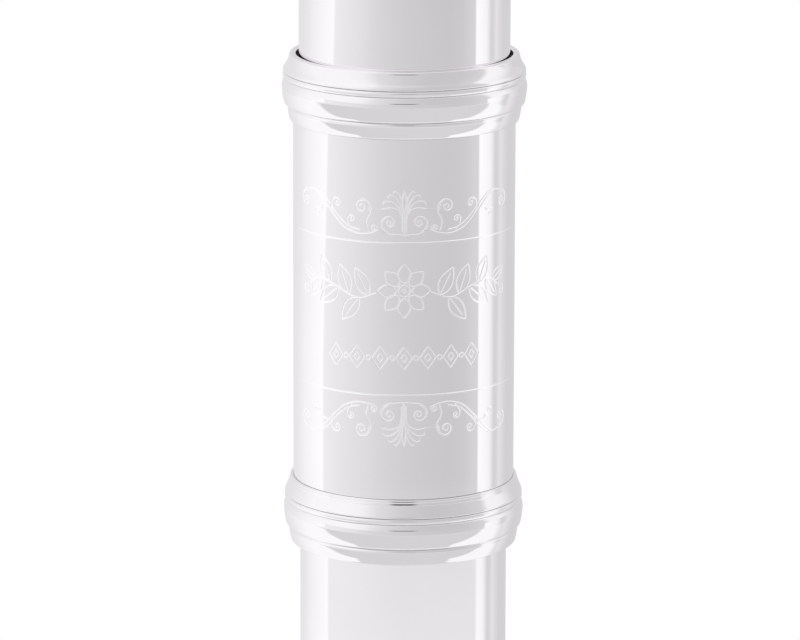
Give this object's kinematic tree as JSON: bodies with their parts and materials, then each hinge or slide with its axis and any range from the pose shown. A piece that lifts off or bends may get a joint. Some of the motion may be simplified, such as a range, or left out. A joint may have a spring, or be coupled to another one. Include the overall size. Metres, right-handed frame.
{
  "type": "concert flute",
  "caption": "Concert flute: polished silver tube with open-hole keys on hinge rods, an engraved barrel between moulded rings, a head joint with lip plate and crown, and a foot joint to low C.",
  "frame": {"origin": "centre of the foot joint's open end, on the axis of the bore", "axes": "+Z along the bore from the foot to the crown; the keys and the blow hole face -Y; the player is on the -X side"},
  "size_m": [0.0426, 0.0414, 0.666],
  "materials": {
    "silver": "mirror-polished silver plate",
    "steel": "ground and oiled hinge steel",
    "pad_skin": "thin translucent skin over felt",
    "cork": "natural cork"
  },
  "bodies": {
    "foot_joint": {"foot_tube": "silver", "foot_rib": "silver", "foot_steel": "steel", "lever_steel": "steel"},
    "body_joint": {"body_tube": "silver", "barrel_sleeve": "silver", "barrel_lower_ring": "silver", "barrel_upper_ring": "silver", "main_rib": "silver", "g_rib": "silver", "thumb_rib": "silver", "right_hand_steel": "steel", "left_hand_steel": "steel", "g_steel": "steel", "thumb_steel": "steel"},
    "head_joint": {"head_tube": "silver", "lip_plate": "silver", "embouchure_riser": "silver"},
    "crown": {"crown": "silver"},
    "stopper": {"stopper_screw": "silver", "stopper_cork": "cork", "stopper_nut": "silver"},
    "d": {"d_key": "silver", "d_pad": "pad_skin"},
    "e": {"e_key": "silver", "e_pad": "pad_skin"},
    "f": {"f_key": "silver", "f_pad": "pad_skin"},
    "f_sharp": {"f_sharp_key": "silver", "f_sharp_pad": "pad_skin"},
    "a": {"a_key": "silver", "a_pad": "pad_skin"},
    "b_flat": {"b_flat_key": "silver", "b_flat_pad": "pad_skin"},
    "c_sharp": {"c_sharp_key": "silver", "c_sharp_pad": "pad_skin"},
    "shake": {"shake_lever": "silver"},
    "g": {"g_key": "silver", "g_lower_pad": "pad_skin", "g_upper_pad": "pad_skin"},
    "g_sharp": {"g_sharp_key": "silver", "g_sharp_pad": "pad_skin"},
    "trill_d": {"trill_d_key": "silver", "trill_d_pad": "pad_skin"},
    "trill_d_sharp": {"trill_d_sharp_key": "silver", "trill_d_sharp_pad": "pad_skin"},
    "thumb": {"thumb_key": "silver", "thumb_pad": "pad_skin"},
    "thumb_b_flat": {"thumb_b_flat_lever": "silver"},
    "foot_d_sharp": {"foot_d_sharp_key": "silver", "foot_d_sharp_pad": "pad_skin"},
    "foot_c_sharp": {"foot_c_sharp_key": "silver", "foot_c_sharp_pad": "pad_skin"},
    "foot_c": {"foot_c_key": "silver", "foot_c_pad": "pad_skin"},
    "low_c_sharp_lever": {"c_sharp_lever": "silver"},
    "low_c_lever": {"c_lever": "silver"},
    "roller": {"c_roller": "silver"}
  },
  "joints": [
    {"name": "foot_turn", "type": "hinge", "parent": "foot_joint", "child": "body_joint", "pos_m": [0, 0, 0.1186], "axis": [0, 0, 1], "range_deg": [-25, 25]},
    {"name": "tuning_slide", "type": "slide", "parent": "body_joint", "child": "head_joint", "axis": [0, 0, 1], "range_m": [0, 0.015]},
    {"name": "crown_turn", "type": "hinge", "parent": "head_joint", "child": "crown", "pos_m": [0, 0, 0.657], "axis": [0, 0, 1], "range_deg": [-720, 720]},
    {"name": "stopper_slide", "type": "slide", "parent": "head_joint", "child": "stopper", "axis": [0, 0, 1], "range_m": [-0.0016, 0.0016]},
    {"name": "d_press", "type": "hinge", "parent": "body_joint", "child": "d", "pos_m": [-0.012, -0.013, 0.137], "axis": [0, 0, 1], "range_deg": [0, 10], "stiffness_Nm_per_rad": 0.02},
    {"name": "e_press", "type": "hinge", "parent": "body_joint", "child": "e", "pos_m": [-0.012, -0.013, 0.1665], "axis": [0, 0, 1], "range_deg": [0, 10], "stiffness_Nm_per_rad": 0.02},
    {"name": "f_press", "type": "hinge", "parent": "body_joint", "child": "f", "pos_m": [-0.012, -0.013, 0.194], "axis": [0, 0, 1], "range_deg": [0, 10], "stiffness_Nm_per_rad": 0.02},
    {"name": "f_sharp_press", "type": "hinge", "parent": "body_joint", "child": "f_sharp", "pos_m": [-0.012, -0.013, 0.2205], "axis": [0, 0, 1], "range_deg": [0, 10], "stiffness_Nm_per_rad": 0.02},
    {"name": "a_press", "type": "hinge", "parent": "body_joint", "child": "a", "pos_m": [-0.012, -0.013, 0.2915], "axis": [0, 0, 1], "range_deg": [0, 10], "stiffness_Nm_per_rad": 0.02},
    {"name": "b_flat_press", "type": "hinge", "parent": "body_joint", "child": "b_flat", "pos_m": [-0.012, -0.013, 0.3125], "axis": [0, 0, 1], "range_deg": [0, 10], "stiffness_Nm_per_rad": 0.02},
    {"name": "c_sharp_press", "type": "hinge", "parent": "body_joint", "child": "c_sharp", "pos_m": [-0.012, -0.013, 0.348], "axis": [0, 0, 1], "range_deg": [0, 10], "stiffness_Nm_per_rad": 0.02},
    {"name": "shake_press", "type": "hinge", "parent": "body_joint", "child": "shake", "pos_m": [-0.012, -0.013, 0.2073], "axis": [0, 0, 1], "range_deg": [0, 8], "stiffness_Nm_per_rad": 0.01},
    {"name": "g_press", "type": "hinge", "parent": "body_joint", "child": "g", "pos_m": [0.01543, -0.00866, 0.259], "axis": [0, 0, -1], "range_deg": [0, 10], "stiffness_Nm_per_rad": 0.02},
    {"name": "g_sharp_press", "type": "hinge", "parent": "body_joint", "child": "g_sharp", "pos_m": [0.01543, -0.00866, 0.2297], "axis": [0, 0, -1], "range_deg": [0, 10], "stiffness_Nm_per_rad": 0.02},
    {"name": "trill_d_press", "type": "hinge", "parent": "body_joint", "child": "trill_d", "pos_m": [-0.0158, -0.0091, 0.278], "axis": [0, 0, -1], "range_deg": [0, 9], "stiffness_Nm_per_rad": 0.02},
    {"name": "trill_d_sharp_press", "type": "hinge", "parent": "body_joint", "child": "trill_d_sharp", "pos_m": [-0.0158, -0.0091, 0.275], "axis": [0, 0, -1], "range_deg": [0, 9], "stiffness_Nm_per_rad": 0.02},
    {"name": "thumb_press", "type": "hinge", "parent": "body_joint", "child": "thumb", "pos_m": [-0.012, 0.013, 0.3314], "axis": [0, 0, -1], "range_deg": [0, 10], "stiffness_Nm_per_rad": 0.02},
    {"name": "thumb_b_flat_press", "type": "hinge", "parent": "body_joint", "child": "thumb_b_flat", "pos_m": [-0.012, 0.013, 0.3108], "axis": [0, 0, -1], "range_deg": [0, 7], "stiffness_Nm_per_rad": 0.01},
    {"name": "foot_d_sharp_press", "type": "hinge", "parent": "foot_joint", "child": "foot_d_sharp", "pos_m": [0, -0.01769, 0.098], "axis": [0, 0, -1], "range_deg": [0, 10], "stiffness_Nm_per_rad": 0.02},
    {"name": "foot_c_sharp_press", "type": "hinge", "parent": "foot_joint", "child": "foot_c_sharp", "pos_m": [0, -0.01769, 0.072], "axis": [0, 0, 1], "range_deg": [0, 10], "stiffness_Nm_per_rad": 0.02},
    {"name": "foot_c_press", "type": "hinge", "parent": "foot_joint", "child": "foot_c", "pos_m": [0, -0.01769, 0.0414], "axis": [0, 0, 1], "range_deg": [0, 10], "stiffness_Nm_per_rad": 0.02},
    {"name": "low_c_sharp_press", "type": "hinge", "parent": "foot_joint", "child": "low_c_sharp_lever", "pos_m": [-0.0089, -0.01281, 0.0788], "axis": [0, 0, -1], "range_deg": [0, 10], "stiffness_Nm_per_rad": 0.01},
    {"name": "low_c_press", "type": "hinge", "parent": "foot_joint", "child": "low_c_lever", "pos_m": [-0.0089, -0.01281, 0.058], "axis": [0, 0, -1], "range_deg": [0, 10], "stiffness_Nm_per_rad": 0.01},
    {"name": "roller_spin", "type": "hinge", "parent": "low_c_lever", "child": "roller", "pos_m": [-0.015, -0.0188, 0.0716], "axis": [1, 0, 0], "continuous": true}
  ],
  "couplings": [
    {"joint": "stopper_slide", "follows": "crown_turn", "m_per_rad": 0.00011937},
    {"joint": "f_sharp_press", "follows": "f_press", "ratio": 1},
    {"joint": "b_flat_press", "follows": "a_press", "ratio": 1},
    {"joint": "foot_c_sharp_press", "follows": "low_c_sharp_press", "ratio": 1},
    {"joint": "foot_c_press", "follows": "low_c_press", "ratio": 1}
  ]
}
